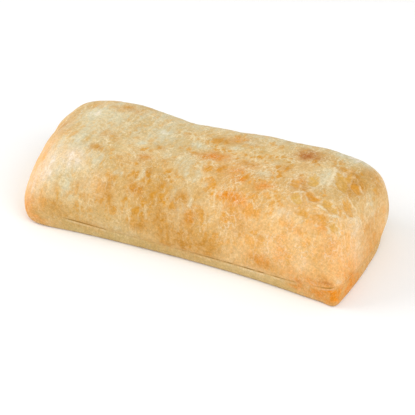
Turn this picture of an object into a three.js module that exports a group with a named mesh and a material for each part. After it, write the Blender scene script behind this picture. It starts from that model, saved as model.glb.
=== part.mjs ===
// A ciabatta roll, baked as one piece: a long, soft-cornered slipper of bread that stands on a
// squarer foot, with a crease where the risen side folds over that foot.
// Millimetres, +Z up. X runs along the roll, -Y is its front, and the origin is the middle of its
// flat underside.
import * as THREE from "three";
import { ImprovedNoise } from "three/addons/math/ImprovedNoise.js";
import { mergeVertices } from "three/addons/utils/BufferGeometryUtils.js";

// Driving dimensions of the risen body.
const LENGTH = 180;
const WIDTH = 84;
const HEIGHT = 41.6;

// The roll isn't straight: its ends sweep forward, and its back and top are pinched near the middle.
const BOW = 6;
const FRONT_PINCH = { depth: 1.4, at: 0.6, reach: 0.5 };
const BACK_PINCH = { depth: 4.9, at: 0, reach: 0.5 };
const TOP_DIP = { depth: 3.6, at: -0.2, reach: 0.4 };
const END_SKEW = { left: 0.09, right: 0 };

// How square each turn is: 2 is an ellipse, and a larger power is a fuller, tighter shoulder.
const SQUARENESS = { right: 15, front: 3.75, back: 5.4, top: 2.1 };
// The left end is squarest at the tray, and eases off up to a share of the height.
const LEFT_SQUARENESS = { low: 18, high: 6.5, easedAt: 0.7 };

// The foot that baked flat on the tray. Its front right corner is sharp.
const FOOT = {
  insetAtSeam: 1,
  insetAtBase: 2.6,
  edgeRadius: 0.8,
  squareness: { left: 12, rightFront: 13, rightBack: 4 },
};

// The crease above the foot climbs a little to the left and steeply at the sharp corner. Its half
// width, and the top of the fold above it, are shares of its height above the tray.
const SEAM = { height: 6.1, leftRise: 3.5, cornerRise: 5.3, depth: 0.9, halfWidth: 0.14, foldTop: 1.45 };
const CORNER = { sharpness: 4, startsAt: -0.2, isFullAt: 1 };

// The left end and the back right corner are tucked under instead, with no crease. These are shares
// of the half length and of the half width.
const TUCK = { startsAt: 0.6, isFullAt: 0.95, edgeRadius: 4, foldBottom: 0.1 };
const TUCK_ACROSS = { startsAt: 0, isFullAt: 0.8 };

// Relief of the crust: broad lumps, smaller puffs over gas bubbles, and the hollows of blisters that
// burst on top near the right end.
const LUMPS = { size: 34, height: 0.8, seed: 7.1 };
const PUFFS = { size: 12, height: 0.5, seed: 3.3 };
const CALM_ABOVE_SEAM = 7;
const BLISTERS = [
  { x: 54, y: -12, radius: 4, depth: 0.6 },
  { x: 61, y: -7, radius: 5, depth: 0.5 },
  { x: 66, y: -17, radius: 4, depth: 0.9 },
  { x: 76, y: -2, radius: 5, depth: 0.7 },
  { x: 81, y: -12, radius: 4, depth: 0.7 },
];

// The grid that the skin is drawn on: cells along, across and up the roll. Its low rows lie at
// shares of the crease's height, and the rest are spaced evenly to the top.
const CELLS = { along: 62, across: 28, up: 14 };
const FOOT_ROWS = [0, 0.14, 0.5, 0.84, 1, 1.16, 1.5];

const CRUST_COLOR = 0xe1ba7e;

// How the skin is found: rays run level up to the belly's height, and above it they fan out from there.
const BELLY_HEIGHT = 0.28 * HEIGHT;
const BISECTIONS = 26;
const FARTHEST = 2.2;
const RIM_SHARE = 0.9999;

// The bow follows the square of the share of the half length, about its mean, and stops growing
// outside the roll.
const MEAN_SQUARE = 1 / 3;
const MOST_SQUARE = 1.5;

const noise = new ImprovedNoise();
const smooth = THREE.MathUtils.smoothstep;
const mix = THREE.MathUtils.lerp;
const hollow = (share, form) => form.depth * Math.exp(-(((share - form.at) / form.reach) ** 2));

// The body's half length, half width and height as they are at one place of it.
function localSizes(x, y) {
  const share = x / (LENGTH / 2);
  const fromAxis = y + BOW * (Math.min(share ** 2, MOST_SQUARE) - MEAN_SQUARE);
  const isFront = fromAxis < 0;
  const skew = share > 0 ? END_SKEW.right : END_SKEW.left;
  return {
    isRight: share > 0,
    isFront,
    fromAxis,
    halfLength: (LENGTH / 2) * (1 + (skew * fromAxis) / (WIDTH / 2)),
    halfWidth: WIDTH / 2 - hollow(share, isFront ? FRONT_PINCH : BACK_PINCH),
    height: HEIGHT - hollow(share, TOP_DIP),
  };
}

// True inside the risen body.
function inBody({ x, y, z }) {
  const s = localSizes(x, y);
  const left = mix(LEFT_SQUARENESS.low, LEFT_SQUARENESS.high, smooth(z / HEIGHT, 0, LEFT_SQUARENESS.easedAt));
  const along = Math.abs(x / s.halfLength) ** (s.isRight ? SQUARENESS.right : left);
  const across = Math.abs(s.fromAxis / s.halfWidth) ** (s.isFront ? SQUARENESS.front : SQUARENESS.back);
  return along + across + Math.max(z / s.height, 0) ** SQUARENESS.top < 1;
}

// True inside the foot, which slopes in a little from the crease to the tray.
function inFoot({ x, y, z }) {
  const s = localSizes(x, y);
  const { left, rightFront, rightBack } = FOOT.squareness;
  const rightPower = s.isFront ? rightFront : rightBack;
  const power = s.isRight ? rightPower : left;
  const inset = mix(FOOT.insetAtBase, FOOT.insetAtSeam, Math.min(z / seamHeight(x, y), 1));
  return Math.abs(x / s.halfLength) ** power + Math.abs(s.fromAxis / (s.halfWidth - inset)) ** power < 1;
}

// How many times `way` fits between `from` and the skin that `inside` describes.
function reach(from, way, inside) {
  let near = 0.05;
  let far = FARTHEST;
  const probe = new THREE.Vector3();
  for (let i = 0; i < BISECTIONS; i++) {
    const middle = (near + far) / 2;
    if (inside(probe.copy(from).addScaledVector(way, middle))) near = middle;
    else far = middle;
  }
  return (near + far) / 2;
}

// The height of the crease above the tray.
function seamHeight(x, y) {
  const share = x / (LENGTH / 2);
  const frontness = smooth(-y / (WIDTH / 2), CORNER.startsAt, CORNER.isFullAt);
  const corner = Math.max(share, 0) ** CORNER.sharpness * frontness;
  return SEAM.height + SEAM.leftRise * Math.min(share, 0) ** 2 + SEAM.cornerRise * corner;
}

// The height of a row of the grid on the sides, at one place of the box's outline.
function rowHeight(row, { x, y }) {
  const last = FOOT_ROWS.length - 1;
  const seam = seamHeight(x, y);
  if (row <= last) return FOOT_ROWS[row] * seam;
  return mix(FOOT_ROWS[last] * seam, HEIGHT, (row - last) / (CELLS.up - last));
}

// Where a point of the plain box grid comes to lie on the roll. Each point is sent out from the
// middle until it meets the skin; a point of the underside goes its own share of the way to the rim.
function onRoll(box) {
  const share = Math.max(Math.abs(2 * box.x) / LENGTH, Math.abs(2 * box.y) / WIDTH);
  const row = Math.round((box.z / HEIGHT + 0.5) * CELLS.up);
  const isUnder = row === 0;
  if (isUnder && share === 0) return new THREE.Vector3();
  const height = rowHeight(row, box);
  const from = new THREE.Vector3(0, 0, Math.min(height, BELLY_HEIGHT));
  const way = new THREE.Vector3(box.x, box.y, height).sub(from);
  if (isUnder) way.divideScalar(share);
  const body = reach(from, way, inBody);
  const isSide = isUnder || share > RIM_SHARE;
  const times = isSide ? foldOverFoot(from, way, height, body) : body;
  return from.addScaledVector(way, isUnder ? times * share : times);
}

// How far a place of the side is tucked under, from 0 to 1.
const leftTuck = (x) => smooth(-x / (LENGTH / 2), TUCK.startsAt, TUCK.isFullAt);
const backCornerTuck = (x, y) => {
  const along = smooth(x / (LENGTH / 2), TUCK.startsAt, TUCK.isFullAt);
  return along * smooth(y / (WIDTH / 2), TUCK_ACROSS.startsAt, TUCK_ACROSS.isFullAt);
};

// Draws the low part of the side back to the foot and into the crease, at a height above the tray.
// Gives how many times `way` fits between `from` and the skin, where `body` is that number for the
// risen body.
function foldOverFoot(from, way, height, body) {
  const seam = seamHeight(way.x, way.y);
  const level = height / seam;
  const left = leftTuck(way.x);
  const corner = backCornerTuck(way.x, way.y);
  const tuck = left + corner;
  const foldStarts = mix(1, TUCK.foldBottom, corner);
  const foldIsFull = mix(SEAM.foldTop, BELLY_HEIGHT / seam, corner);
  const bodyShare = Math.max(left, smooth(level, foldStarts, foldIsFull));
  const radius = mix(FOOT.edgeRadius, TUCK.edgeRadius, tuck);
  const roundedUnder = radius - Math.sqrt(radius ** 2 - Math.max(radius - height, 0) ** 2);
  const crease = SEAM.depth * (1 - tuck) * Math.exp(-(((level - 1) / SEAM.halfWidth) ** 2));
  return mix(reach(from, way, inFoot), body, bodyShare) - (roundedUnder + crease) / way.length();
}

const blisterDepth = (blister, x, y) => {
  const away = Math.hypot(x - blister.x, y - blister.y) / blister.radius;
  return blister.depth * Math.exp(-(away ** 2));
};

// How far the crust stands out at a point of the skin.
function relief({ x, y, z }) {
  const calm = smooth(z, seamHeight(x, y), seamHeight(x, y) + CALM_ABOVE_SEAM);
  const lumps = LUMPS.height * noise.noise(x / LUMPS.size, y / LUMPS.size + LUMPS.seed, z / LUMPS.size);
  const puffs = PUFFS.height * noise.noise(x / PUFFS.size + PUFFS.seed, y / PUFFS.size, z / PUFFS.size);
  const sunk = z > BELLY_HEIGHT ? BLISTERS.reduce((sum, blister) => sum + blisterDepth(blister, x, y), 0) : 0;
  return calm * (lumps + puffs) - sunk;
}

// Moves each point of the skin out along its normal by the relief there.
function raiseRelief(geometry) {
  geometry.computeVertexNormals();
  const { position, normal } = geometry.attributes;
  const point = new THREE.Vector3();
  const out = new THREE.Vector3();
  for (let i = 0; i < position.count; i++) {
    point.fromBufferAttribute(position, i);
    out.fromBufferAttribute(normal, i);
    point.addScaledVector(out, relief(point));
    position.setXYZ(i, point.x, point.y, point.z);
  }
}

// Sets the geometry's lowest point on Z 0, with its box centred over the origin.
function centreOnFoot(geometry) {
  geometry.computeBoundingBox();
  const middle = geometry.boundingBox.getCenter(new THREE.Vector3());
  geometry.translate(-middle.x, -middle.y, -geometry.boundingBox.min.z);
}

function rollGeometry() {
  const box = new THREE.BoxGeometry(LENGTH, WIDTH, HEIGHT, CELLS.along, CELLS.across, CELLS.up);
  box.deleteAttribute("normal");
  box.deleteAttribute("uv");
  const skin = mergeVertices(box, 1e-3);
  const position = skin.attributes.position;
  const point = new THREE.Vector3();
  for (let i = 0; i < position.count; i++) {
    const placed = onRoll(point.fromBufferAttribute(position, i));
    position.setXYZ(i, placed.x, placed.y, placed.z);
  }
  raiseRelief(skin);
  centreOnFoot(skin);
  skin.computeVertexNormals();
  return skin;
}

const crust = new THREE.MeshStandardMaterial({ color: CRUST_COLOR, roughness: 0.75, metalness: 0 });
const roll = new THREE.Mesh(rollGeometry(), crust);
roll.name = "ciabatta_roll";

const part = new THREE.Group();
part.add(roll);
export default part;
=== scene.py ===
"""The looks of a ciabatta roll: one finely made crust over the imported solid, floured and baked.

Blender works in metres. The crust's own sizes and places are given in millimetres, in the same
frame: X runs along the roll, -Y is its front and Z 0 is the tray.
"""

import logging
import math
import random
from collections.abc import Iterator
from dataclasses import dataclass, field
from enum import Enum
from itertools import pairwise

import bpy
import numpy as np
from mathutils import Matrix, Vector, noise

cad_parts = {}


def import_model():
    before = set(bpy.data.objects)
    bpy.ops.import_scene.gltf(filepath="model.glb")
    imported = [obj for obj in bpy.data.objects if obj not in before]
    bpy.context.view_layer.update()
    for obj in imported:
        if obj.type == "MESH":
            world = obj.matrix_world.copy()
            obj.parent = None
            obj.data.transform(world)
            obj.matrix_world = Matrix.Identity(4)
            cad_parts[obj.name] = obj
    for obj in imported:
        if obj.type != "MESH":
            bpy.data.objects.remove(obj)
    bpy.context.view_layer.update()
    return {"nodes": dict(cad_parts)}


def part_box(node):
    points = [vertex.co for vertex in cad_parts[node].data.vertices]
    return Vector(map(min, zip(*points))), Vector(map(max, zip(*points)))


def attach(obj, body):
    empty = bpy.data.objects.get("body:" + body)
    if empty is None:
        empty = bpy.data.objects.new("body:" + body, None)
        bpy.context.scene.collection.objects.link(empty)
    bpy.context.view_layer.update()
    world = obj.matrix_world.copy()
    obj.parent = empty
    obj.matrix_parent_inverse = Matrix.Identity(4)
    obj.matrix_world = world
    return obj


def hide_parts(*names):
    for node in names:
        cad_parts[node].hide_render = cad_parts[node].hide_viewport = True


MM = 0.001

log = logging.getLogger("ciabatta")

Socket = bpy.types.NodeSocket
Colour = tuple[float, float, float, float]


def from_hex(code: str) -> Colour:
    """Turns a screen colour into linear light.

    Args:
        code: Six hexadecimal digits, as in "e1ba7e".

    Returns:
        Red, green, blue and a full alpha.
    """
    shares = [int(code[i : i + 2], 16) / 255 for i in (0, 2, 4)]
    light = [s / 12.92 if s <= 0.04045 else ((s + 0.055) / 1.055) ** 2.4 for s in shares]
    return (light[0], light[1], light[2], 1.0)


def ease(value: np.ndarray, start: float, end: float) -> np.ndarray:
    """Rises smoothly from 0 at `start` to 1 at `end`."""
    share = np.clip((value - start) / (end - start), 0, 1)
    return share * share * (3 - 2 * share)


def wander(points: np.ndarray, size: float, seed: float) -> np.ndarray:
    """Gives each point a value of about -1 to 1 that drifts from place to place.

    Args:
        points: Places in millimetres, one in each row.
        size: How far apart unlike values lie, in millimetres.
        seed: Shifts the pattern.

    Returns:
        One value for each point.
    """
    shifted = points / size + seed
    return np.array([noise.noise(Vector(p)) for p in shifted])


@dataclass(frozen=True)
class Stray:
    """How an edge strays: by how much, and how far apart its unlike places lie, in millimetres."""

    reach: float
    size: float
    seed: float

    def at(self, points: np.ndarray) -> np.ndarray:
        """Gives how far the edge strays at each point, in millimetres."""
        return self.reach * wander(points, self.size, self.seed)


class Tone(Enum):
    """What a part of the crust is toned with. The value names the attribute that holds it."""

    FLOUR = "flour"
    BAKE = "bake"
    AMBER = "amber"
    PEACH = "peach"
    SCORCH = "scorch"

    @property
    def wiped(self) -> tuple["Tone", ...]:
        """The tones that a patch of this tone wipes away where it is laid."""
        if self is Tone.PEACH:
            return ()
        if self is Tone.FLOUR:
            return (Tone.BAKE, Tone.AMBER, Tone.SCORCH)
        return (Tone.FLOUR,)


@dataclass(frozen=True)
class Patch:
    """A soft-edged patch of one tone.

    `along` and `around` are how far it reaches along the roll and round its section.
    """

    tone: Tone
    place: tuple[float, float, float]
    along: float
    around: float
    strength: float

    def cover(self, points: np.ndarray) -> np.ndarray:
        """Gives how much of the patch each point gets, from 0 to its strength."""
        away = points - np.array(self.place)
        around = np.hypot(away[:, 1], away[:, 2])
        spread = np.hypot(away[:, 0] / self.along, around / self.around)
        return self.strength * np.exp(-(spread**2))


@dataclass(frozen=True)
class Puff:
    """A low, broad puff of the crust, or a hollow where its height is negative."""

    place: tuple[float, float, float]
    along: float
    around: float
    height: float

    def lift(self, points: np.ndarray) -> np.ndarray:
        """Gives how far each point is lifted, in millimetres."""
        away = points - np.array(self.place)
        around = np.hypot(away[:, 1], away[:, 2])
        return self.height * np.exp(-((away[:, 0] / self.along) ** 2) - (around / self.around) ** 2)


@dataclass(frozen=True)
class Blister:
    """A burst blister on top: a flat-floored hollow with a crisp edge, an oval seen from above.

    `across` is its half size over the roll, `turn` how far it is turned about Z in degrees, and
    `browning` how gold its floor is, from 0 to 1.
    """

    x: float
    y: float
    along: float
    across: float
    turn: float
    depth: float
    browning: float

    def edge_distance(self, points: np.ndarray) -> np.ndarray:
        """Gives how far each point is outside the edge in millimetres, negative inside."""
        angle = math.radians(self.turn)
        dx = points[:, 0] - self.x
        dy = points[:, 1] - self.y
        u = (dx * math.cos(angle) + dy * math.sin(angle)) / self.along
        v = (-dx * math.sin(angle) + dy * math.cos(angle)) / self.across
        away = np.hypot(u, v)
        return (away - 1) * min(self.along, self.across)


@dataclass(frozen=True)
class Ridge:
    """A pale ridge of torn crust between blisters, a line of places on top seen from above."""

    line: tuple[tuple[float, float], ...]
    half_width: float

    def edge_distance(self, points: np.ndarray) -> np.ndarray:
        """Gives how far each point is outside the ridge in millimetres, negative on it."""
        stretches = [self._away(points, start, end) for start, end in pairwise(self.line)]
        return np.minimum.reduce(stretches) - self.half_width

    def _away(
        self, points: np.ndarray, start: tuple[float, float], end: tuple[float, float]
    ) -> np.ndarray:
        """Gives how far each point is from one straight stretch, seen from above.

        Args:
            points: Places in millimetres, one in each row.
            start: Where the stretch begins.
            end: Where it ends.

        Returns:
            One distance for each point, in millimetres.
        """
        way = np.subtract(end, start)
        from_start = points[:, :2] - start
        share = np.clip(from_start @ way / (way @ way), 0, 1)
        return np.linalg.norm(from_start - share[:, None] * way, axis=1)


@dataclass(frozen=True)
class Crease:
    """The crease above the foot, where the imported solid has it, and a little higher to the left.

    Its height above the tray climbs to the left and steeply at the front right corner. Lengths are
    in millimetres, and places across and along the foot are shares of its half width and length.
    """

    half_length: float = 90.0
    half_width: float = 42.0
    centre: tuple[float, float, float] = (2.38, 0.71, 0.11)
    height: float = 6.1
    left_rise: float = 5.2
    corner_rise: float = 5.3
    corner_sharpness: float = 4.0
    front_starts: float = -0.2
    front_full: float = 1.0
    tuck_starts: float = 0.6
    tuck_full: float = 0.95
    back_full: float = 0.8
    depth: float = 0.4
    half_gap: float = 0.55
    # Where the crease's painted shade shows most: middles and half lengths along the roll.
    dark_stretches: tuple[tuple[float, float], ...] = ((-42, 13), (42, 28), (84, 6))
    stretch_sharpness: float = 4.0
    faintest: float = 0.2
    closed_from: float = 80.0
    closed_at: float = 90.0
    filling: float = 0.7

    def rise(self, points: np.ndarray) -> np.ndarray:
        """Gives how far above the crease each point is, in millimetres, negative on the foot."""
        local = points - np.array(self.centre)
        share = local[:, 0] / self.half_length
        front = ease(-local[:, 1] / self.half_width, self.front_starts, self.front_full)
        corner = np.maximum(share, 0) ** self.corner_sharpness * front
        left = self.left_rise * np.minimum(share, 0) ** 2
        return local[:, 2] - (self.height + left + self.corner_rise * corner)

    def openness(self, points: np.ndarray) -> np.ndarray:
        """Gives 1 where the crease is open and 0 where the crust is tucked under instead."""
        local = points - np.array(self.centre)
        share = local[:, 0] / self.half_length
        behind = ease(local[:, 1] / self.half_width, 0, self.back_full)
        left = ease(-share, self.tuck_starts, self.tuck_full)
        back = ease(share, self.tuck_starts, self.tuck_full) * behind
        return np.clip(1 - left - back, 0, 1)

    def shade(self, points: np.ndarray) -> np.ndarray:
        """Gives how dark the painted shade in the crease is at each point: some stretches show most.
        """
        shares = [
            np.exp(-(np.abs((points[:, 0] - middle) / half) ** self.stretch_sharpness))
            for middle, half in self.dark_stretches
        ]
        return np.maximum(np.maximum.reduce(shares), self.faintest) * self.openness(points)

    def cut(self, points: np.ndarray) -> np.ndarray:
        """Gives how deep the crease is cut at each point, in millimetres, negative if filled."""
        rise = self.rise(points)
        cut = self.depth * self.shade(points) * np.exp(-((rise / self.half_gap) ** 2))
        closed = ease(points[:, 0], self.closed_from, self.closed_at)
        filled = self.filling * closed * self.openness(points) * np.exp(-(rise**2))
        return (1 - closed) * cut - filled


@dataclass(frozen=True)
class LowEnd:
    """The low part of the right end: swollen near its middle and drawn in at its front corner.

    All values are in millimetres.
    """

    starts: float = 78.0
    full: float = 90.0
    top: float = 14.0
    bottom: float = 4.0
    swell: float = 0.5
    swell_middle: float = -14.0
    swell_half: float = 11.0
    slant: float = 0.6
    slant_starts: float = 26.0
    slant_full: float = 38.0

    def moves(self, points: np.ndarray) -> np.ndarray:
        """Gives the move of each point, in millimetres."""
        near = ease(points[:, 0], self.starts, self.full)
        near *= ease(points[:, 2], self.top, self.bottom)
        away = (points[:, 1] - self.swell_middle) / self.swell_half
        swollen = self.swell * np.exp(-(away**2))
        drawn = self.slant * ease(-points[:, 1], self.slant_starts, self.slant_full)
        return np.outer((swollen - drawn) * near, (1, 0, 0))


@dataclass(frozen=True)
class FootCorner:
    """The foot's front right corner, drawn out to a point. All values are in millimetres."""

    way: tuple[float, float, float] = (0.25, -1, 0)
    pull: float = 2.9
    reach: float = 4.5
    top: float = 12.0
    sole: float = 1.0

    def moves(self, points: np.ndarray) -> np.ndarray:
        """Gives the move of each point, in millimetres."""
        low = points[points[:, 2] < self.sole]
        corner = low[np.argmax(low[:, 0] - low[:, 1])]
        away = np.linalg.norm((points - corner)[:, :2], axis=1)
        share = np.exp(-((away / self.reach) ** 2)) * ease(points[:, 2], self.top, 0)
        return np.outer(share * self.pull, self.way)


class Bench:
    """Adds the nodes of one material and joins them up."""

    THIN = 0.3
    THICK = 0.7

    def __init__(self, name: str) -> None:
        """Starts a material with only its output."""
        self.material = bpy.data.materials.new(name)
        self.material.use_nodes = True
        self.tree = self.material.node_tree
        self.tree.nodes.clear()
        self.output = self.tree.nodes.new("ShaderNodeOutputMaterial")

    def add(
        self, kind: str, feeds: dict[int | str, object] | None = None, **settings: object
    ) -> bpy.types.Node:
        """Adds a node.

        Args:
            kind: The node's type.
            feeds: What goes into its sockets: another node's socket or a plain value.
            **settings: The node's own settings.

        Returns:
            The node.
        """
        node = self.tree.nodes.new(kind)
        for name, value in settings.items():
            setattr(node, name, value)
        for socket, value in (feeds or {}).items():
            if isinstance(value, Socket):
                self.tree.links.new(value, node.inputs[socket])
            else:
                node.inputs[socket].default_value = value
        return node

    def place(self) -> Socket:
        """Gives the place on the roll in metres."""
        return self.add("ShaderNodeTexCoord").outputs["Object"]

    def painted(self, name: str) -> Socket:
        """Gives a value that is painted on the mesh."""
        return self.add("ShaderNodeAttribute", attribute_name=name).outputs["Fac"]

    def stretched(self, place: Socket, scale: tuple[float, float, float]) -> Socket:
        """Gives the place with each axis scaled."""
        return self.add("ShaderNodeMapping", {"Vector": place, "Scale": scale}).outputs["Vector"]

    def mottle(
        self, place: Socket, size: float, detail: float = 2, roughness: float = 0.5
    ) -> Socket:
        """Gives a cloudy value about one half, with clouds of a size in millimetres."""
        feeds = {"Vector": place, "Scale": 1 / (size * MM), "Detail": detail, "Roughness": roughness}
        return self.add("ShaderNodeTexNoise", feeds).outputs["Fac"]

    def warped(self, place: Socket, size: float, reach: float) -> Socket:
        """Gives the place pushed about by clouds of a size, by up to a reach, in millimetres."""
        feeds = {"Vector": place, "Scale": 1 / (size * MM), "Detail": 2.0}
        clouds = self.add("ShaderNodeTexNoise", feeds).outputs["Color"]
        half = (0.5, 0.5, 0.5)
        centred = self.add("ShaderNodeVectorMath", {0: clouds, 1: half}, operation="SUBTRACT")
        feeds = {0: centred.outputs[0], "Scale": 2 * reach * MM}
        push = self.add("ShaderNodeVectorMath", feeds, operation="SCALE")
        feeds = {0: place, 1: push.outputs[0]}
        return self.add("ShaderNodeVectorMath", feeds, operation="ADD").outputs[0]

    def web(self, place: Socket, size: float) -> Socket:
        """Gives 0 along winding lines and up to about 0.3 in the cells between them.

        Args:
            place: The place on the roll.
            size: The size of the cells in millimetres.

        Returns:
            The value's socket.
        """
        clouds = self.mottle(place, size, detail=3, roughness=0.55)
        centred = self.add("ShaderNodeMath", {0: clouds, 1: 0.5}, operation="SUBTRACT").outputs[0]
        return self.add("ShaderNodeMath", {0: centred}, operation="ABSOLUTE").outputs[0]

    def brightened(self, colour: Socket, factor: Socket) -> Socket:
        """Gives a colour made brighter or darker by a factor."""
        feeds = {"Value": factor, "Color": colour}
        return self.add("ShaderNodeHueSaturation", feeds).outputs["Color"]

    def ramp(
        self, value: Socket, start: float, end: float, low: float = 0, high: float = 1
    ) -> Socket:
        """Gives a value that goes smoothly from one number to another as a second value rises.

        Args:
            value: The second value.
            start: Where it has the first number.
            end: Where it has the other, which may be below `start`.
            low: The first number.
            high: The other number.

        Returns:
            The value's socket.
        """
        feeds = {"Value": value, "From Min": start, "From Max": end, "To Min": low, "To Max": high}
        node = self.add("ShaderNodeMapRange", feeds, interpolation_type="SMOOTHSTEP")
        return node.outputs["Result"]

    def follow(self, clouds: Socket, low: float, high: float) -> Socket:
        """Gives a value from `low` in the thin places of some clouds to `high` in the thick ones."""
        return self.ramp(clouds, self.THIN, self.THICK, low, high)

    def sum(self, a: Socket | float, b: Socket | float) -> Socket:
        """Adds two values."""
        return self.add("ShaderNodeMath", {0: a, 1: b}, operation="ADD").outputs[0]

    def times(self, a: Socket | float, b: Socket | float, clamp: bool = False) -> Socket:
        """Multiplies two values, and keeps the result within 0 and 1 if `clamp` is set."""
        feeds = {0: a, 1: b}
        node = self.add("ShaderNodeMath", feeds, operation="MULTIPLY", use_clamp=clamp)
        return node.outputs[0]

    def over(
        self, under: Socket | Colour, colour: Socket | Colour, share: Socket | float
    ) -> Socket:
        """Lays a colour over another by a share."""
        feeds = {0: share, 6: under, 7: colour}
        node = self.add("ShaderNodeMix", feeds, data_type="RGBA", clamp_factor=True)
        return node.outputs[2]


@dataclass(frozen=True)
class CrustFinish:
    """The floured, golden crust, as dry as bread is. Sizes are in millimetres."""

    wheat: Colour = from_hex("dcbf89")
    straw: Colour = from_hex("cfaf73")
    gold: Colour = from_hex("d29532")
    brown: Colour = from_hex("c1852a")
    amber: Colour = from_hex("dc8618")
    peach: Colour = from_hex("f5bd7a")
    cream: Colour = from_hex("ecd9b0")
    flour: Colour = from_hex("d2cbab")
    white_flour: Colour = from_hex("f0e2d2")
    scorch: Colour = from_hex("ac6420")
    pale_floor: Colour = from_hex("d6ae58")
    gold_floor: Colour = from_hex("d79430")
    blister_rim: Colour = from_hex("e8d6b0")
    pink_flour: Colour = from_hex("efc8a2")
    # Painted shade: the dark line along the bottom of the crease
    crease: Colour = from_hex("97712e")
    foot: Colour = from_hex("c2aa6e")
    base: Colour = from_hex("b98a4e")
    cell_size: float = 5.6
    cell_stretch: tuple[float, float, float] = (1.0, 0.7, 0.55)
    cloud_size: float = 2.8
    pebble_size: float = 1.5
    grain_size: float = 0.8
    streak_size: float = 3.2
    streak_stretch: tuple[float, float, float] = (1.0, 0.2, 0.2)
    wrinkle_size: float = 2.6
    wrinkle_stretch: tuple[float, float, float] = (0.9, 0.6, 1.0)
    uneven: tuple[float, float] = (0.32, 0.68)
    relief_depth: float = 0.4

    def material(self) -> bpy.types.Material:
        """Builds the material from the painted tones and from clouds, webs and streaks.

        Returns:
            The finished material.
        """
        bench = Bench("baked_crust")
        place = bench.place()
        close = bench.mottle(bench.warped(place, 5, 1.0), self.cloud_size, 3, 0.55)
        grain = bench.mottle(place, self.grain_size, 4, 0.8)
        risen = bench.ramp(bench.painted("crease_rise"), 1, 17, low=0.4)
        drawn_out = bench.stretched(bench.warped(place, 6, 1.0), self.cell_stretch)
        web = bench.web(drawn_out, self.cell_size)
        wrinkles = self._wrinkles(bench, place, web, risen)

        colour = self._bake(bench, place, web, close, risen)
        colour = self._dust(bench, colour, place, close)
        colour = bench.over(colour, self.scorch, self._uneven(bench, Tone.SCORCH, close, 0.7, 1.25))
        colour = self._speckle(bench, colour, grain, wrinkles)
        colour = self._open_blisters(bench, colour, place, close)
        colour = self._paint_crease_shade_and_highlight(bench, colour, place)
        colour = bench.over(colour, self.base, bench.times(bench.painted("under"), 0.85))
        pebbles = bench.mottle(place, self.pebble_size, 2, 0.6)
        colour = bench.brightened(colour, bench.follow(pebbles, 0.93, 1.07))
        colour = bench.brightened(colour, bench.follow(grain, 0.88, 1.12))

        feeds = {"Base Color": colour, "Specular IOR Level": 0.12}
        feeds |= {"Sheen Weight": 0.03, "Sheen Roughness": 0.5}
        feeds["Roughness"] = bench.ramp(bench.painted(Tone.FLOUR.value), 0, 1, 0.68, 0.9)
        fine = bench.sum(bench.times(close, 0.9), bench.times(grain, 0.5))
        relief = bench.sum(bench.times(wrinkles, 0.3), fine)
        bump = {"Height": relief, "Strength": 0.5, "Distance": self.relief_depth * MM}
        feeds["Normal"] = bench.add("ShaderNodeBump", bump).outputs["Normal"]
        shader = bench.add("ShaderNodeBsdfPrincipled", feeds)
        bench.tree.links.new(shader.outputs["BSDF"], bench.output.inputs["Surface"])
        return bench.material

    def _uneven(self, bench: Bench, tone: Tone, close: Socket, low: float, high: float) -> Socket:
        """Gives a painted tone times `low` to `high`, as the close clouds go from thin to thick."""
        strength = bench.ramp(close, *self.uneven, low, high)
        return bench.times(bench.painted(tone.value), strength, clamp=True)

    def _bake(
        self, bench: Bench, place: Socket, web: Socket, close: Socket, risen: Socket
    ) -> Socket:
        """Lays the wheat colours, the gold of the web's cells, the foot and the baked tones."""
        broad = bench.ramp(bench.mottle(place, 15), 0.4, 0.6)
        colour = bench.over(self.straw, self.wheat, broad)
        shows = bench.ramp(bench.mottle(place, 8), 0.43, 0.57, 0.05, 1.0)
        cells = bench.times(bench.ramp(web, 0.03, 0.11), shows)
        bare = bench.ramp(bench.painted(Tone.FLOUR.value), 0, 0.7, 1, 0.2)
        colour = bench.over(colour, self.gold, bench.times(bench.times(cells, risen), bare))
        flecks = bench.times(bench.ramp(close, 0.48, 0.36, high=0.4), bare)
        colour = bench.over(colour, self.gold, bench.times(flecks, risen))
        colour = bench.over(colour, self.peach, self._uneven(bench, Tone.PEACH, close, 0.65, 1.35))
        colour = bench.over(colour, self.foot, bench.times(bench.painted("foot"), 0.6))
        for tone, paint in ((Tone.BAKE, self.brown), (Tone.AMBER, self.amber)):
            colour = bench.over(colour, paint, self._uneven(bench, tone, close, 0.65, 1.35))
        return colour

    def _dust(self, bench: Bench, colour: Socket, place: Socket, close: Socket) -> Socket:
        """Dusts flour over a colour, in soft streaks that run down the section."""
        flour = bench.painted(Tone.FLOUR.value)
        drawn_out = bench.stretched(bench.warped(place, 9, 2.5), self.streak_stretch)
        streaks = bench.mottle(drawn_out, self.streak_size, 4, 0.65)
        streaky = bench.ramp(streaks, 0.35, 0.65, -0.2, 0.2)
        broken = bench.sum(bench.follow(close, -0.15, 0.15), streaky)
        patchy = bench.sum(flour, bench.times(broken, bench.ramp(flour, 0, 0.5)))
        tinted = bench.over(self.flour, self.pink_flour, bench.painted(Tone.PEACH.value))
        colour = bench.over(colour, tinted, bench.ramp(patchy, 0.0, 0.9, high=0.95))
        return bench.over(colour, self.white_flour, bench.ramp(patchy, 0.7, 1.15, high=0.85))

    def _wrinkles(self, bench: Bench, place: Socket, web: Socket, risen: Socket) -> Socket:
        """Gives 1 along the web's lines and along finer wrinkles, which come and go."""
        coarse = bench.ramp(web, 0.026, 0.0)
        threads = bench.web(bench.stretched(place, self.wrinkle_stretch), self.wrinkle_size)
        fine = bench.ramp(threads, 0.038, 0.0, high=0.65)
        both = bench.add("ShaderNodeMath", {0: coarse, 1: fine}, operation="MAXIMUM").outputs[0]
        shows = bench.ramp(bench.mottle(place, 7), 0.4, 0.6, low=0.2)
        return bench.times(bench.times(both, shows), risen)

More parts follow.
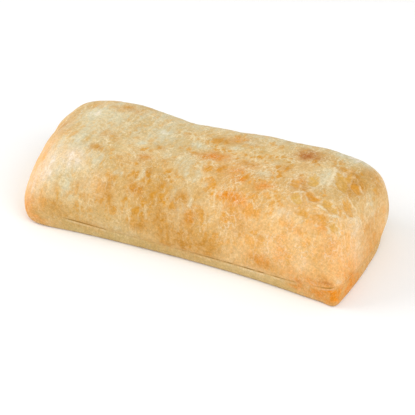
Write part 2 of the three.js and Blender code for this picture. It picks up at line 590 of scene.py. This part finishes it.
    def _speckle(self, bench: Bench, colour: Socket, grain: Socket, wrinkles: Socket) -> Socket:
        """Flecks a colour with cream and with darker gold, and draws the wrinkles in cream."""
        colour = bench.over(colour, self.cream, bench.ramp(grain, 0.5, 0.68, high=0.07))
        colour = bench.over(colour, self.brown, bench.ramp(grain, 0.48, 0.3, high=0.08))
        pale = bench.ramp(bench.painted(Tone.BAKE.value), 0, 0.7, 0.75, 0.3)
        tinted = bench.over(self.cream, self.pink_flour, bench.painted(Tone.PEACH.value))
        return bench.over(colour, tinted, bench.times(wrinkles, pale))

    def _open_blisters(self, bench: Bench, colour: Socket, place: Socket, close: Socket) -> Socket:
        """Colours the floors of the blisters, the pale rims about them and the torn ridges."""
        ragged = bench.follow(bench.mottle(place, 2.2, 3, 0.6), -0.8, 0.8)
        edge = bench.sum(bench.painted("blister_edge"), ragged)
        shows = bench.ramp(bench.mottle(place, 4), 0.42, 0.62, 0.05, 0.6)
        rim = bench.times(bench.ramp(edge, 1.4, 0.4), shows)
        colour = bench.over(colour, self.blister_rim, rim)
        floor = bench.over(self.pale_floor, self.gold_floor, bench.painted("blister_browning"))
        inside = bench.times(bench.ramp(edge, 0.7, -1.1), bench.follow(close, 0.5, 0.95))
        colour = bench.over(colour, floor, inside)
        ridge = bench.sum(bench.painted("ridge_edge"), bench.follow(close, -0.5, 0.5))
        return bench.over(colour, self.blister_rim, bench.ramp(ridge, 0.5, -0.4, high=0.7))

    def _paint_crease_shade_and_highlight(self, bench: Bench, colour: Socket, place: Socket) -> Socket:
        """Paints shade as a thin dark line in the crease and a highlight on the ledge below, which
        come and go.
        """
        rise = bench.painted("crease_rise")
        line = bench.times(bench.ramp(rise, 0.6, 0.1), bench.ramp(rise, -0.5, -0.05))
        clouds = bench.mottle(bench.stretched(place, self.streak_stretch), 5)
        broken = bench.ramp(clouds, 0.4, 0.58, low=0.25)
        shown = bench.times(broken, bench.painted("crease_shade"))
        lip_highlight = bench.times(bench.ramp(rise, -1.7, -1.1), bench.ramp(rise, -0.35, -0.7))
        # Painted highlight: cream on the ledge of the foot under the crease
        colour = bench.over(colour, self.cream, bench.times(bench.times(lip_highlight, shown), 0.35))
        # Painted shade: the crease colour laid as a thin dark line along the crease
        return bench.over(colour, self.crease, bench.times(bench.times(line, shown), 0.95))


FLOUR, BAKE, AMBER, PEACH, SCORCH = Tone

# A row of the tables is a patch: its place, how far it reaches along and around, and its
# strength. Where the tones of a table differ, the tone comes first.

# The broad tones of the crust, with the pink of both ends and the amber of the foot
BROAD_TONES = (
    (FLOUR, (-50, 12, 38), 42, 34, 0.36),
    (FLOUR, (-62, 9, 39), 10, 9, 0.45),
    (FLOUR, (-60, -18, 36), 8, 12, 0.3),
    (FLOUR, (-20, 4, 39), 10, 10, 0.25),
    (FLOUR, (30, 26, 38), 44, 12, 0.26),
    (FLOUR, (72, 27, 38), 10, 6, 1.0),
    (FLOUR, (64, -4, 41), 13, 12, 0.25),
    (FLOUR, (-34, -39, 12), 14, 8, 0.2),
    (FLOUR, (39, -37, 15), 5, 8, 0.2),
    (FLOUR, (-49, -23, 36), 5, 6, 0.45),
    (FLOUR, (-77, -36, 13), 4, 10, 0.4),
    (FLOUR, (45, -41, 5), 20, 5, 0.3),
    (FLOUR, (-60, -27, 31), 11, 11, 0.45),
    (BAKE, (-60, -40, 13), 14, 6, 0.25),
    (FLOUR, (-42, -33, 27), 7, 8, 0.3),
    (FLOUR, (0, 34, 30), 110, 16, 0.45),
    (PEACH, (60, -34, 22), 40, 22, 0.58),
    (PEACH, (80, -39, 5), 14, 7, 0.5),
    (AMBER, (84, -39, 5), 13, 6, 0.7),
    (BAKE, (3, -34, 20), 26, 16, 0.58),
    (FLOUR, (-20, -39, 10), 9, 5, 0.25),
    (FLOUR, (-36, -30, 30), 6, 8, 0.12),
    (BAKE, (-45, -39, 10), 28, 5, 0.1),
    (FLOUR, (-54, -36, 23), 7, 6, 0.35),
    (BAKE, (-16, -24, 34), 18, 12, 0.35),
    (AMBER, (28, -12, 39), 20, 12, 0.3),
    (BAKE, (79, 5, 39), 8, 9, 0.75),
    (BAKE, (80, -1, 38), 4, 4, 0.3),
    (BAKE, (84, 19, 35), 7, 6, 0.5),
    (BAKE, (12, 15, 39), 12, 5, 0.4),
    (BAKE, (55, 18, 41), 9, 5, 0.4),
    (BAKE, (92, 8, 16), 4, 12, 0.35),
    (BAKE, (80, -38, 18), 7, 12, 0.2),
    (BAKE, (-75, 2, 33), 7, 12, 0.45),
    (PEACH, (90, -25, 20), 16, 22, 0.6),
    (AMBER, (93, -5, 6), 8, 16, 0.4),
    (AMBER, (92, -26, 5), 7, 10, 0.85),
    (PEACH, (92, 16, 14), 7, 14, 0.5),
    (PEACH, (-77, -26, 20), 6, 24, 0.9),
    (AMBER, (-76, -34, 16), 5, 9, 0.3),
    (PEACH, (-70, -24, 27), 9, 14, 0.4),
    (PEACH, (-90, -10, 20), 9, 26, 0.5),
    (PEACH, (-55, -25, 35), 9, 6, 0.5),
    (PEACH, (-38, -33, 27), 7, 7, 0.4),
    (FLOUR, (-73, -33, 18), 6, 11, 0.5),
    (PEACH, (-70, -30, 24), 6, 8, 0.5),
    (FLOUR, (-74, -4, 33), 5, 8, 0.3),
    (SCORCH, (-77, 2, 31), 5, 12, 0.14),
    (FLOUR, (-55, -4, 39), 5, 5, 0.4),
    (AMBER, (-75, -40, 8), 6, 8, 0.7),
    (AMBER, (-66, -40, 4), 10, 4, 0.35),
)

# The dabs of flour, roughly from the left end to the right
FLOUR_DABS = (
    ((-77, -14, 26), 5, 14, 0.2),
    ((-69, -29, 28), 6, 9, 0.85),
    ((-55, -27, 35), 5, 9, 0.4),
    ((-58, -23, 36), 2.5, 9, 0.5),
    ((-54, -20, 37), 2, 7, 0.45),
    ((-66, 12, 38), 4, 3, 0.5),
    ((-43, -24, 36), 3, 6, 0.7),
    ((-30, -26, 34), 4, 3, 0.45),
    ((-29, -5, 39), 3, 2, 0.6),
    ((-22, 8, 39), 4, 3, 0.55),
    ((-18, -25, 35), 1.6, 4.5, 0.6),
    ((-12, -9, 38), 2.5, 2.5, 0.35),
    ((-1, 6, 38), 4, 3.5, 0.85),
    ((-3, -9, 38), 5, 6, 0.5),
    ((1, -16, 37), 4, 5, 0.35),
    ((60, -29, 36), 4, 4, 0.3),
    ((1, -28, 32), 2, 5, 0.4),
    ((8, -16, 38), 2.5, 10, 0.6),
    ((3, -22, 35), 4, 12, 0.16),
    ((7, -33, 25), 3, 8, 0.3),
    ((10, -30, 30), 1.8, 4, 0.5),
    ((17, 10, 40), 3, 3, 0.55),
    ((21, 16, 40), 4, 2.5, 0.35),
    ((38, -7, 41), 4.5, 3.5, 0.55),
    ((40, 2, 41), 3, 2.5, 0.45),
    ((67, 3, 42), 6, 9, 0.4),
    ((88, -12, 30), 7, 8, 0.45),
    ((58, -27, 37), 4, 4, 0.35),
    ((68, -34, 29), 2.5, 2.5, 0.35),
    ((72, -39, 20), 6, 4, 0.3),
    ((89, -37, 12), 3.5, 1.8, 0.7),
    ((89, -16, 25), 4, 7, 0.35),
    ((92, -15, 15), 5, 8, 0.3),
    ((89, 6, 27), 4, 9, 0.4),
)

# The brown spots between the flour
BAKED_SPOTS = (
    ((55, 6, 42), 6, 5, 0.35),
    ((73, 10, 41), 6, 4, 0.35),
    ((58, -8, 41), 5, 5, 0.45),
    ((-72, -8, 35), 5, 5, 0.25),
    ((-66, 20, 38), 8, 5, 0.35),
    ((-54, 17, 40), 5, 3, 0.45),
    ((-47, 20, 40), 7, 4, 0.6),
    ((-47, -17, 38), 2.8, 2.5, 0.95),
    ((-46, -6, 39), 6, 4, 0.35),
    ((-32, -20, 37), 4, 3, 0.35),
    ((-58, -40, 14), 6, 5, 0.5),
    ((-46, -34, 27), 3, 4, 0.3),
    ((-33, -34, 26), 4.5, 6.5, 0.6),
    ((-18, -31, 30), 4.5, 3.5, 0.95),
    ((-22, -14, 38), 3.2, 2.2, 0.8),
    ((-15, -23, 35), 2.5, 2.5, 0.6),
    ((-12, -12, 38), 3, 2.5, 0.45),
    ((-18, -4, 38), 2.5, 2.5, 0.35),
    ((-12, -38, 15), 5, 4, 0.5),
    ((-8, -28, 31), 3, 3, 0.35),
    ((-3, -36, 19), 2.5, 6, 0.7),
    ((0, -3, 39), 3, 2, 0.5),
    ((6, -29, 31), 2.2, 3, 0.7),
    ((6, 13, 39), 4, 3, 0.5),
    ((9.5, -1, 39), 6, 4, 1.0),
    ((9, -38, 12), 11, 6, 0.5),
    ((23, -38, 11), 9, 5, 0.5),
    ((13, -34, 24), 3.5, 5, 0.6),
    ((14, -27, 34), 2, 3.5, 0.2),
    ((39, -34, 27), 4, 4, 0.5),
    ((3, -30, 30), 4, 5, 0.45),
    ((14, -39, 9), 12, 5, 0.4),
    ((60, -12, 41), 8, 8, 0.45),
    ((78, -24, 37), 4, 4, 0.35),
    ((-40, -36, 20), 12, 10, 0.2),
    ((-40, -39, 7), 9, 3, 0.5),
    ((18, -10, 40), 3.5, 3.5, 0.5),
    ((29, -2, 40), 5, 3, 0.9),
    ((46, 0, 41), 5, 3, 0.5),
    ((46, -27, 36), 3.5, 3, 0.35),
)

# The spots that are baked to amber, most of them right of the middle
AMBER_SPOTS = (
    ((-22, -14, 38), 3, 2, 0.4),
    ((-74, -20, 29), 3, 7, 0.25),
    ((-68, -39, 15), 4, 4, 0.2),
    ((9, -2, 39), 5, 3.2, 1.0),
    ((14, 18, 39), 7, 3, 0.35),
    ((13, -34, 24), 3, 5, 0.4),
    ((16, 0, 40), 4, 3, 0.3),
    ((25, -10, 40), 3.5, 3, 0.6),
    ((30, -16, 40), 3.5, 2.5, 0.65),
    ((31, -26, 36), 7, 3.5, 1.0),
    ((35, -31, 31), 6, 6, 0.25),
    ((57, -7, 41), 4, 4, 0.35),
    ((64, -21, 40), 7, 6, 0.25),
    ((77, -29, 35), 5, 4, 0.35),
    ((84, -33, 27), 4, 5, 0.3),
    ((49, -39, 13), 5, 5, 0.2),
    ((74, -40, 12), 11, 3, 0.4),
)

# The tones laid last: over the front right, the dark spots and the far rim
LAST_TOUCHES = (
    (BAKE, (52, -39, 12), 7, 4, 0.35),
    (BAKE, (72, -40, 12), 10, 3, 0.1),
    (BAKE, (84, -40, 13), 4, 3, 0.4),
    (BAKE, (57, -39, 11), 12, 4, 0.2),
    (BAKE, (33, -29, 33), 4, 5, 0.25),
    (FLOUR, (15, -22, 37), 3, 5, 0.3),
    (AMBER, (88, -32, 20), 5, 10, 0.2),
    (AMBER, (43, -17, 41), 4.5, 2.5, 0.85),
    (AMBER, (43, -30, 33), 3, 2.5, 0.2),
    (BAKE, (48, -35, 25), 3, 6, 0.3),
    (BAKE, (52, -39, 14), 4.5, 4, 0.4),
    (AMBER, (52, -39, 14), 4.5, 4, 0.35),
    (BAKE, (52, 15, 41), 6, 4, 0.6),
    (AMBER, (61, -38, 20), 3, 6, 0.3),
    (AMBER, (64, -32, 32), 3, 2.5, 0.25),
    (AMBER, (69, -32, 32), 2, 3, 0.35),
    (AMBER, (70, -40, 6), 3.5, 2.5, 0.7),
    (AMBER, (88, -39, 5), 7, 5, 0.6),
    (SCORCH, (52, 15, 41), 5.5, 4, 0.9),
    (SCORCH, (53, 20, 41), 6, 3, 0.3),
    (SCORCH, (8, -2, 39), 4.5, 2.2, 0.1),
    (SCORCH, (82, 4, 37), 3.2, 2.5, 0.25),
    (SCORCH, (77, 8, 40), 3, 4, 0.15),
    (BAKE, (88, 18, 31), 5, 6, 0.4),
    (BAKE, (-23, -17, 37), 3, 2.5, 0.4),
    (BAKE, (-9, -34, 25), 4, 4, 0.3),
    (BAKE, (-5, -26, 33), 3, 3, 0.25),
    (AMBER, (-18, -31, 29), 4, 3, 0.25),
    (BAKE, (80, 7, 38), 6, 6, 0.45),
    (FLOUR, (16, -30, 30), 3, 4, 0.25),
    (BAKE, (92, -2, 22), 5, 9, 0.25),
    (PEACH, (84, 28, 32), 12, 8, 0.35),
    (PEACH, (14, 33, 32), 16, 8, 0.4),
    (PEACH, (-62, 24, 32), 10, 7, 0.3),
    (BAKE, (42, -20, 40), 4, 3, 0.5),
    (FLOUR, (36, -35, 24), 4, 4, 0.2),
    (FLOUR, (-66, -17, 36), 6, 5, 0.25),
    (SCORCH, (72, -40, 10), 3, 1.2, 0.35),
    (SCORCH, (85, -40, 12), 3.4, 1.2, 0.7),
)


def marks() -> list[Patch]:
    """Lists the patches that show on the crust, in the order in which they are laid."""
    spotted = ((FLOUR, FLOUR_DABS), (BAKE, BAKED_SPOTS), (AMBER, AMBER_SPOTS))
    broad = [Patch(*row) for row in BROAD_TONES]
    spots = [Patch(tone, *row) for tone, rows in spotted for row in rows]
    last = [Patch(*row) for row in LAST_TOUCHES]
    return broad + spots + last


def crust_puffs() -> list[Puff]:
    """Lists the low puffs and hollows of the crust that show along the roll's outline."""
    return [
        Puff((-50, 25, 38), 16, 8, 0.9),
        Puff((-68, 16, 36), 8, 8, -0.6),
        Puff((-22, 29, 36), 12, 8, -0.6),
        Puff((88, 22, 29), 9, 9, 1.1),
        Puff((91, 8, 18), 8, 9, -0.9),
        Puff((-80, -34, 12), 9, 9, 0.9),
        Puff((-88, -16, 22), 10, 9, -0.8),
    ]


def burst_blisters() -> tuple[Blister, ...]:
    """Lists the burst blisters near the right end of the top."""
    return (
        Blister(x=56, y=-10, along=2.3, across=4.2, turn=26, depth=0.45, browning=0.8),
        Blister(x=63, y=-4, along=2.7, across=5.0, turn=26, depth=0.4, browning=0.25),
        Blister(x=68, y=-16, along=4.6, across=2.5, turn=-25, depth=0.7, browning=1.0),
        Blister(x=61, y=-20, along=2.8, across=3.2, turn=26, depth=0.3, browning=0.2),
        Blister(x=75, y=2, along=3.2, across=7.0, turn=26, depth=0.5, browning=0.4),
        Blister(x=76, y=8, along=2.0, across=5.0, turn=26, depth=0.3, browning=0.6),
        Blister(x=82, y=3, along=3.2, across=2.6, turn=0, depth=0.4, browning=0.9),
        Blister(x=76, y=-18, along=2.8, across=4.0, turn=26, depth=0.5, browning=0.5),
        Blister(x=80, y=-19, along=1.6, across=2.4, turn=26, depth=0.3, browning=0.4),
        Blister(x=83.5, y=-11, along=2.9, across=4.0, turn=26, depth=0.5, browning=0.8),
        Blister(x=67, y=-26, along=4.2, across=2.0, turn=-30, depth=0.2, browning=0.8),
        Blister(x=75, y=-26, along=3.6, across=2.8, turn=-10, depth=0.25, browning=1.0),
        Blister(x=82, y=-27, along=2.6, across=2.0, turn=0, depth=0.2, browning=0.5),
    )


def torn_ridges() -> tuple[Ridge, ...]:
    """Lists the pale ridges that stand between the burst blisters."""
    return (
        Ridge(((68, 11), (69.5, 7), (70, 1.5), (70.5, -4.5)), 0.7),
        Ridge(((65, 0), (70, -1.5)), 0.5),
        Ridge(((57, -17.5), (63, -14.5)), 0.4),
        Ridge(((72.5, -21), (76, -21.5), (79.5, -23), (83, -21)), 0.5),
    )


@dataclass(frozen=True)
class TornTop:
    """The burst blisters on top and the torn ridges between them. Lengths are in millimetres."""

    blisters: tuple[Blister, ...] = field(default_factory=burst_blisters)
    ridges: tuple[Ridge, ...] = field(default_factory=torn_ridges)
    blister_stray: Stray = Stray(reach=1.1, size=3.2, seed=4.7)
    ridge_stray: Stray = Stray(reach=0.5, size=2.4, seed=8.3)
    wall: tuple[float, float] = (-0.4, 1.4)
    rim_height: float = 0.3
    rim_distance: float = 0.9
    rim_half: float = 0.8
    ridge_height: float = 0.35
    above: float = 25.0
    far_off: float = 20.0

    def lift(self, points: np.ndarray) -> np.ndarray:
        """Gives how far each point stands out of the crust, negative in the blisters."""
        edge = self.blister_edge(points)
        sunk = self.nearest(points, "depth") * ease(-edge, *self.wall)
        rims = self.rim_height * np.exp(-(((edge - self.rim_distance) / self.rim_half) ** 2))
        ridges = self.ridge_height * np.exp(-(np.maximum(self.ridge_edge(points), 0) ** 2))
        return rims + ridges - sunk

    def blister_edge(self, points: np.ndarray) -> np.ndarray:
        """Gives how far each point is outside the nearest blister's edge."""
        edges = [blister.edge_distance(points) for blister in self.blisters]
        return np.minimum.reduce(edges) + self.blister_stray.at(points) + self._off_top(points)

    def ridge_edge(self, points: np.ndarray) -> np.ndarray:
        """Gives how far each point is outside the nearest torn ridge."""
        edges = [ridge.edge_distance(points) for ridge in self.ridges]
        return np.minimum.reduce(edges) + self.ridge_stray.at(points) + self._off_top(points)

    def nearest(self, points: np.ndarray, measure: str) -> np.ndarray:
        """Gives each point a measure of the blister nearest to it, such as its depth."""
        nearest = np.argmin([blister.edge_distance(points) for blister in self.blisters], axis=0)
        return np.array([getattr(blister, measure) for blister in self.blisters])[nearest]

    def _off_top(self, points: np.ndarray) -> np.ndarray:
        """Gives 0 on top and a long way off below it, where nothing is torn."""
        return np.where(points[:, 2] > self.above, 0.0, self.far_off)


@dataclass(frozen=True)
class Scatter:
    """Patches scattered over the back. Lengths are in millimetres."""

    count: int = 46
    seed: int = 11
    front: float = 24.0
    lowest: float = 4.0
    along: tuple[float, float] = (3, 8)
    around: tuple[float, float] = (3, 7)
    strength: tuple[float, float] = (0.3, 0.7)
    tones: tuple[Tone, ...] = (Tone.BAKE, Tone.AMBER, Tone.FLOUR, Tone.FLOUR, Tone.BAKE)

    def patches(self, low: Vector, high: Vector) -> Iterator[Patch]:
        """Draws the patches one by one.

        Args:
            low: The lowest corner of the roll's box.
            high: Its highest corner.

        Yields:
            The patches in the order in which they are laid.
        """
        draw = random.Random(self.seed)
        for _ in range(self.count):
            tone = draw.choice(self.tones)
            x = draw.uniform(low.x, high.x)
            y = draw.uniform(self.front, high.y)
            z = draw.uniform(self.lowest, high.z)
            spread = draw.uniform(*self.along), draw.uniform(*self.around)
            yield Patch(tone, (x, y, z), *spread, draw.uniform(*self.strength))


@dataclass
class CiabattaCrust:
    """The whole roll as one closed crust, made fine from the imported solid."""

    solid: bpy.types.Object
    piece: bpy.types.Object = field(init=False)
    finish: CrustFinish = field(default_factory=CrustFinish)
    crease: Crease = field(default_factory=Crease)
    torn: TornTop = field(default_factory=TornTop)
    end: LowEnd = field(default_factory=LowEnd)
    corner: FootCorner = field(default_factory=FootCorner)
    scatter: Scatter = field(default_factory=Scatter)
    name: str = "ciabatta_crust"
    merge_distance: float = 0.01
    refinements: int = 2
    calm_height: float = 8.0
    wiping: float = 0.85
    patch_strays: tuple[Stray, ...] = tuple(Stray(2.0, 7.0, seed) for seed in (1.3, 5.9, 9.1))
    foot_fade: tuple[float, float] = (-0.3, 0.8)
    facing_down: tuple[float, float] = (0.6, 0.95)
    rise_kept: tuple[float, float] = (-5, 20)
    edge_kept: tuple[float, float] = (-5, 5)

    def build(self) -> bpy.types.Object:
        """Makes the crust and dresses it.

        Returns:
            The finished piece.
        """
        self._copy_solid()
        self._refine()
        self._group_risen_crust()
        self._swell("dimples", size=8.0, height=0.55)
        self._swell("puckers", size=3.2, height=0.3)
        self._sculpt()
        self._paint()
        self.piece.data.materials.clear()
        self.piece.data.materials.append(self.finish.material())
        return self.piece

    def _copy_solid(self) -> None:
        """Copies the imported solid's mesh into a new piece and makes it the active one."""
        bpy.ops.object.select_all(action="DESELECT")
        self.piece = bpy.data.objects.new(self.name, self.solid.data.copy())
        bpy.context.scene.collection.objects.link(self.piece)
        self.piece.select_set(True)
        bpy.context.view_layer.objects.active = self.piece

    def _refine(self) -> None:
        """Merges the loose triangles, pairs them into quads and rounds them off."""
        bpy.ops.object.mode_set(mode="EDIT")
        bpy.ops.mesh.select_all(action="SELECT")
        bpy.ops.mesh.remove_doubles(threshold=self.merge_distance * MM)
        bpy.ops.mesh.tris_convert_to_quads(face_threshold=math.pi, shape_threshold=math.pi)
        bpy.ops.object.mode_set(mode="OBJECT")
        fine = self.piece.modifiers.new("fine", "SUBSURF")
        fine.levels = self.refinements
        fine.render_levels = self.refinements
        bpy.ops.object.modifier_apply(modifier=fine.name)
        bpy.ops.object.shade_smooth()

    def _places(self) -> np.ndarray:
        """Gives the places of all points of the mesh in millimetres."""
        flat = np.empty(len(self.piece.data.vertices) * 3)
        self.piece.data.vertices.foreach_get("co", flat)
        return flat.reshape(-1, 3) / MM

    def _normals(self) -> np.ndarray:
        """Gives the outward directions at all points of the mesh."""
        flat = np.empty(len(self.piece.data.vertices) * 3)
        self.piece.data.vertices.foreach_get("normal", flat)
        return flat.reshape(-1, 3)

    def _group_risen_crust(self) -> None:
        """Groups the points above the crease, so that swelling leaves the foot alone."""
        group = self.piece.vertex_groups.new(name="risen")
        shares = ease(self.crease.rise(self._places()), 0, self.calm_height)
        for index, share in enumerate(shares):
            group.add([index], float(share), "REPLACE")

    def _swell(self, name: str, size: float, height: float) -> None:
        """Raises cloudy relief on the risen crust.

        Args:
            name: The relief's name.
            size: The size of its clouds in millimetres.
            height: From its deepest to its highest, in millimetres.
        """
        clouds = bpy.data.textures.new(name, "CLOUDS")
        clouds.noise_scale = size * MM
        clouds.noise_depth = 2
        swell = self.piece.modifiers.new(name, "DISPLACE")
        swell.texture = clouds
        swell.texture_coords = "LOCAL"
        swell.vertex_group = "risen"
        swell.strength = height * MM
        swell.mid_level = 0.5
        bpy.ops.object.modifier_apply(modifier=swell.name)

    def _sculpt(self) -> None:
        """Cuts the crease, opens the blisters and shapes the right end by moving points."""
        points = self._places()
        puffs = np.sum([puff.lift(points) for puff in crust_puffs()], axis=0)
        out = self.torn.lift(points) - self.crease.cut(points) + puffs
        moved = points + self._normals() * out[:, None]
        moved += self.end.moves(moved)
        moved += self.corner.moves(moved)
        moved[:, 2] = np.maximum(moved[:, 2], 0)
        self.piece.data.vertices.foreach_set("co", (moved * MM).ravel())
        self.piece.data.update()

    def _paint(self) -> None:
        """Paints the tones and the places of the crease, the foot and the blisters on the mesh."""
        points = self._places()
        for tone, share in self._tones(points).items():
            self._store(tone.value, share)
        rise = self.crease.rise(points)
        self._store("crease_rise", np.clip(rise, *self.rise_kept))
        # How much painted shade the crease gets at each point
        self._store("crease_shade", self.crease.shade(points))
        self._store("foot", ease(-rise, *self.foot_fade) * self.crease.openness(points))
        self._store("under", ease(-self._normals()[:, 2], *self.facing_down))
        self._store("ridge_edge", np.clip(self.torn.ridge_edge(points), *self.edge_kept))
        self._store("blister_edge", np.clip(self.torn.blister_edge(points), *self.edge_kept))
        self._store("blister_browning", self.torn.nearest(points, "browning"))

    def _tones(self, points: np.ndarray) -> dict[Tone, np.ndarray]:
        """Lays the patches over one another.

        Args:
            points: The mesh's points in millimetres.

        Returns:
            For each tone, its share at each point, from 0 to 1.
        """
        straying = points + np.stack([stray.at(points) for stray in self.patch_strays], axis=1)
        low, high = (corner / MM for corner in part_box(self.solid.name))
        shares = {tone: np.zeros(len(points)) for tone in Tone}
        for patch in [*marks(), *self.scatter.patches(low, high)]:
            cover = patch.cover(straying)
            shares[patch.tone] += cover * (1 - shares[patch.tone])
            for tone in patch.tone.wiped:
                shares[tone] *= 1 - self.wiping * cover
        return shares

    def _store(self, name: str, values: np.ndarray) -> None:
        """Keeps one value for each point of the mesh under a name."""
        layer = self.piece.data.attributes.new(name, "FLOAT", "POINT")
        layer.data.foreach_set("value", values.astype(np.float32))


@dataclass(frozen=True)
class Lamp:
    """A large soft light that faces the middle of the roll.

    `bearing` and `height` are angles in degrees: 0 is in front, and 90 is straight overhead.
    """

    name: str
    bearing: float
    height: float
    distance: float
    size: float
    power: float


@dataclass
class Studio:
    """The pale floor, the soft lights and the camera, in metres, millimetres and degrees.

    Only the floor's clouds, the lens and the sensor are in millimetres.
    """

    floor_size: float = 12.0
    floor_colour: Colour = from_hex("f9f9f8")
    floor_tint: Colour = from_hex("ffffff")
    floor_clouds: float = 300.0
    floor_roughness: float = 0.9
    room_light: float = 0.7
    bearing: float = 25.77
    elevation: float = 33.0
    distance: float = 0.9067
    target: tuple[float, float, float] = (0.0024, 0.0007, 0.0201)
    framing: tuple[float, float] = (0.0023, -0.0117)
    lens: float = 159.4
    sensor: float = 36.0
    nearest_seen: float = 0.05
    lamps: tuple[Lamp, ...] = (
        Lamp("key", bearing=67, height=36, distance=1.2, size=1.0, power=5.9),
        Lamp("fill", bearing=-77, height=26, distance=1.2, size=1.0, power=7.5),
    )

    def build(self) -> None:
        """Lays the floor, hangs the lights and sets up the camera."""
        self._lay_floor()
        self._light_room()
        for lamp in self.lamps:
            self._hang(lamp)
        self._set_camera()

    def _toward(self, bearing: float, height: float) -> Vector:
        """Gives the direction from the roll to a bearing and height in degrees."""
        turn, rise = math.radians(bearing), math.radians(height)
        level = Vector((math.sin(turn), -math.cos(turn), 0))
        return level * math.cos(rise) + Vector((0, 0, math.sin(rise)))

    def _lay_floor(self) -> None:
        """Lays a plain pale floor at the tray's height."""
        bpy.ops.object.select_all(action="DESELECT")
        bpy.ops.mesh.primitive_plane_add(size=self.floor_size)
        floor = bpy.context.active_object
        floor.name = "floor"
        bench = Bench("pale_floor")
        clouds = bench.mottle(bench.place(), self.floor_clouds)
        feeds = {"Base Color": bench.over(self.floor_colour, self.floor_tint, clouds)}
        feeds["Roughness"] = self.floor_roughness
        shader = bench.add("ShaderNodeBsdfPrincipled", feeds)
        bench.tree.links.new(shader.outputs["BSDF"], bench.output.inputs["Surface"])
        floor.data.materials.append(bench.material)

    def _light_room(self) -> None:
        """Fills the room with even white light."""
        world = bpy.data.worlds.new("white_room")
        world.use_nodes = True
        backdrop = world.node_tree.nodes["Background"]
        backdrop.inputs["Color"].default_value = (1, 1, 1, 1)
        backdrop.inputs["Strength"].default_value = self.room_light
        bpy.context.scene.world = world
        bpy.context.scene.view_settings.view_transform = "Standard"

    def _hang(self, lamp: Lamp) -> None:
        """Hangs one soft light."""
        light = bpy.data.lights.new(lamp.name, "AREA")
        light.shape = "DISK"
        light.size = lamp.size
        light.energy = lamp.power
        holder = bpy.data.objects.new(lamp.name, light)
        way = self._toward(lamp.bearing, lamp.height)
        holder.location = Vector(self.target) + way * lamp.distance
        holder.rotation_euler = way.to_track_quat("Z", "Y").to_euler()
        bpy.context.scene.collection.objects.link(holder)

    def _set_camera(self) -> None:
        """Puts the camera where the photo was taken from and aims it at the frame's middle."""
        back = self._toward(self.bearing, self.elevation)
        right = Vector((0, 0, 1)).cross(back).normalized()
        up = back.cross(right)
        eye = Vector(self.target) + back * self.distance
        aim = Vector(self.target) + right * self.framing[0] + up * self.framing[1]
        data = bpy.data.cameras.new("camera")
        data.lens = self.lens
        data.sensor_width = self.sensor
        data.clip_start = self.nearest_seen
        camera = bpy.data.objects.new("camera", data)
        camera.location = eye
        camera.rotation_euler = (eye - aim).to_track_quat("Z", "Y").to_euler()
        bpy.context.scene.collection.objects.link(camera)
        bpy.context.scene.camera = camera


def main() -> None:
    """Builds the crust and the studio."""
    logging.basicConfig(level=logging.INFO, format="%(message)s")
    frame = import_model()
    piece = CiabattaCrust(frame["nodes"]["ciabatta_roll"]).build()
    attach(piece, "root")
    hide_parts("ciabatta_roll")
    log.info("%s: %d faces", piece.name, len(piece.data.polygons))
    Studio().build()
    log.info("studio: floor, lights and camera")


if __name__ == "__main__":
    main()
